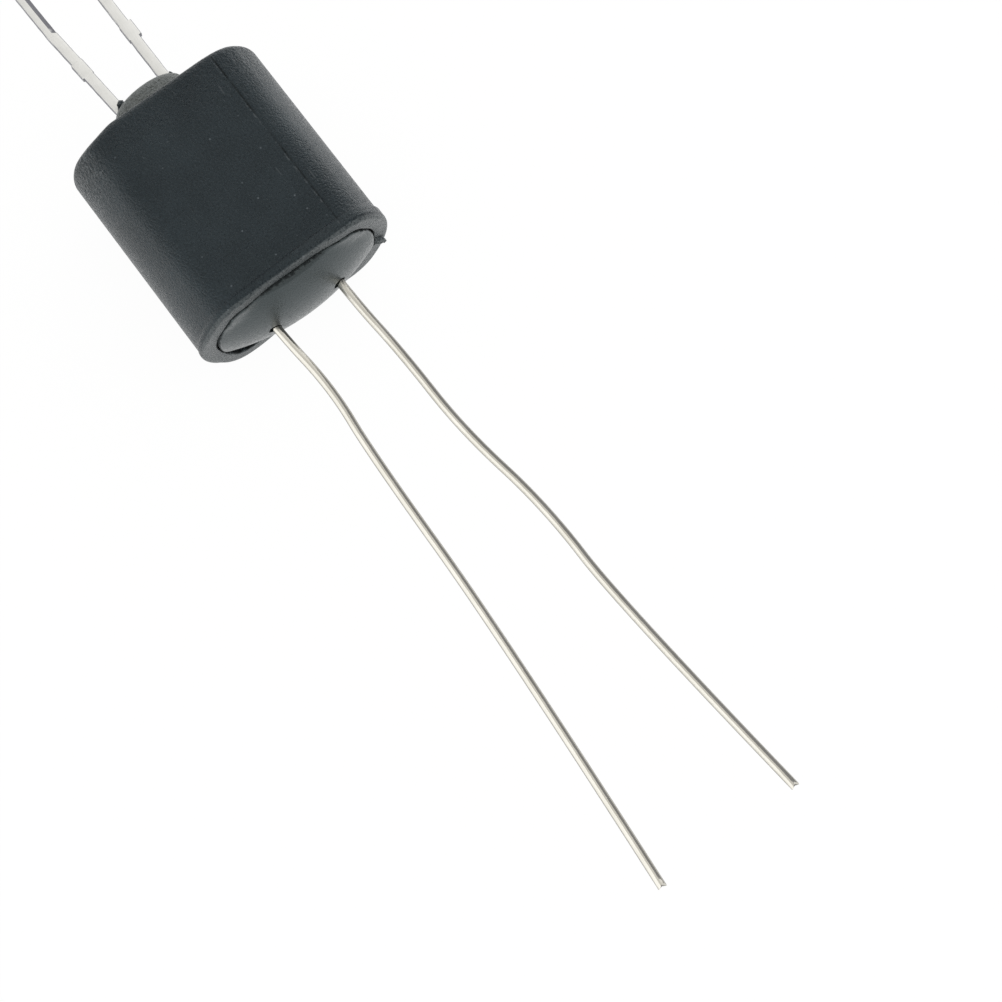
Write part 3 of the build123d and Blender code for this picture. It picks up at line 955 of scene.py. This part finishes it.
seen = seen + Socket(paper.node_tree, rays["Is Transmission Ray"])
seen = paper_place.math("MINIMUM", seen, 1.0) * (1 - shadow_share)
glow = paper_place.node("ShaderNodeEmission", {}, {"Color": (1, 1, 1, 1), "Strength": paper_glow})
lit = Socket(paper.node_tree, paper_shader.outputs["BSDF"])
mixed = paper_place.node("ShaderNodeMixShader", {}, {0: seen, 1: lit, 2: glow})
paper_place.feed(mixed, paper.node_tree.nodes["Material Output"].inputs["Surface"])
wear(floor, paper)

# Light: a white studio tent, a little dimmer and warmer towards its top, so that the floor and the horizon
# are its brightest parts, with a wide soft window on the right.
world = bpy.data.worlds.new("studio")
world.use_nodes = True
bpy.context.scene.world = world
sky = Socket(world.node_tree)
direction = sky.node("ShaderNodeTexCoord", {}, {}, pick=0)
window_strength = 0.6
window = direction.axis(1).between(0.1, 0.95) * window_strength
tent = {
    "stops": (
        (0.0, (1.0, 1.0, 1.0)),
        (0.08, (1.0, 1.0, 1.0)),
        (0.24, (0.72, 0.72, 0.71)),
        (0.40, (0.62, 0.615, 0.61)),
        (0.70, (0.70, 0.69, 0.67)),
        (1.0, (0.84, 0.83, 0.805)),
    )
}
background = world.node_tree.nodes["Background"]
shade = sky.node("ShaderNodeValToRGB", tent, {"Fac": direction.axis(2)})
added = {"data_type": "RGBA", "blend_type": "ADD"}
sky_tone = sky.node("ShaderNodeMix", added, {0: window, 6: shade, 7: (1, 1, 1, 1)}, pick=2)
sky.feed(sky_tone, background.inputs["Color"])
background.inputs["Strength"].default_value = 1.0

# Reflector cards: a white and a dark board stand along the thin wires and give the bright metal its bands,
# and two low white ones beside the housing brighten the edges of its round sides. They show in
# reflections only.
card_white = (1.0, 1.0, 1.0)
card_grey = (0.5, 0.5, 0.53)
card_fade = 0.96
for name, y, (start_x, end_x), top, colour, strength in (
    ("white_card", -16 * mm, (0.5 * mm, 46 * mm), 45 * mm, card_white, 1.45),
    ("dark_card", 18 * mm, (1 * mm, 46 * mm), 45 * mm, card_grey, 0.5),
    ("left_card", -15 * mm, (-9 * mm, 4 * mm), 7 * mm, card_white, 1.6),
    ("right_card", 15 * mm, (-9 * mm, 1.5 * mm), 7 * mm, card_white, 2.0),
):
    mesh = bpy.data.meshes.new(name)
    card_corners = [(start_x, y, floor_z), (end_x, y, floor_z), (end_x, y, top), (start_x, y, top)]
    mesh.from_pydata(card_corners, [], [(0, 1, 2, 3)])
    card = bpy.data.objects.new(name, mesh)
    bpy.context.scene.collection.objects.link(card)
    card.visible_camera = False
    card.visible_diffuse = False
    card.visible_shadow = False
    board, board_shader, board_place = new_material(name)
    faded = [card_fade * part for part in colour]
    shade = board_place.noise(0.05, 1.0).tint(opaque(colour), opaque(faded))
    board_shader.inputs["Base Color"].default_value = (0, 0, 0, 1)
    board_shader.inputs["Emission Strength"].default_value = strength
    board_place.feed(shade, board_shader.inputs["Emission Color"])
    wear(card, board)

# Camera: high above the part, as the photograph was taken, with a long lens. The legs leave the picture
# at its upper left corner and the wires end at its lower right.
camera_azimuth = math.radians(53.001)
camera_elevation = math.radians(76.118)
camera_distance = 0.150
camera_shift_right = 0.0117587
camera_shift_up = -0.0128515
focal_pixels = 3477.8
image_pixels = 1002
camera_data = bpy.data.cameras.new("camera")
camera_data.sensor_width = 36.0
camera_data.lens = camera_data.sensor_width * focal_pixels / image_pixels
camera_data.clip_start = 0.01
camera_data.clip_end = 10.0
right = Vector((math.cos(camera_azimuth), math.sin(camera_azimuth), 0))
level = Vector((math.sin(camera_azimuth), -math.cos(camera_azimuth), 0))
back = level * math.cos(camera_elevation) + Vector((0, 0, math.sin(camera_elevation)))
up = back.cross(right)
camera = bpy.data.objects.new("camera", camera_data)
bpy.context.scene.collection.objects.link(camera)
stand = Vector((0, 0, middle)) + back * camera_distance + right * camera_shift_right + up * camera_shift_up
camera.matrix_world = Matrix.Translation(stand) @ Matrix((right, up, back)).transposed().to_4x4()
bpy.context.scene.camera = camera

# View: plain colours.
bpy.context.scene.view_settings.view_transform = "Standard"
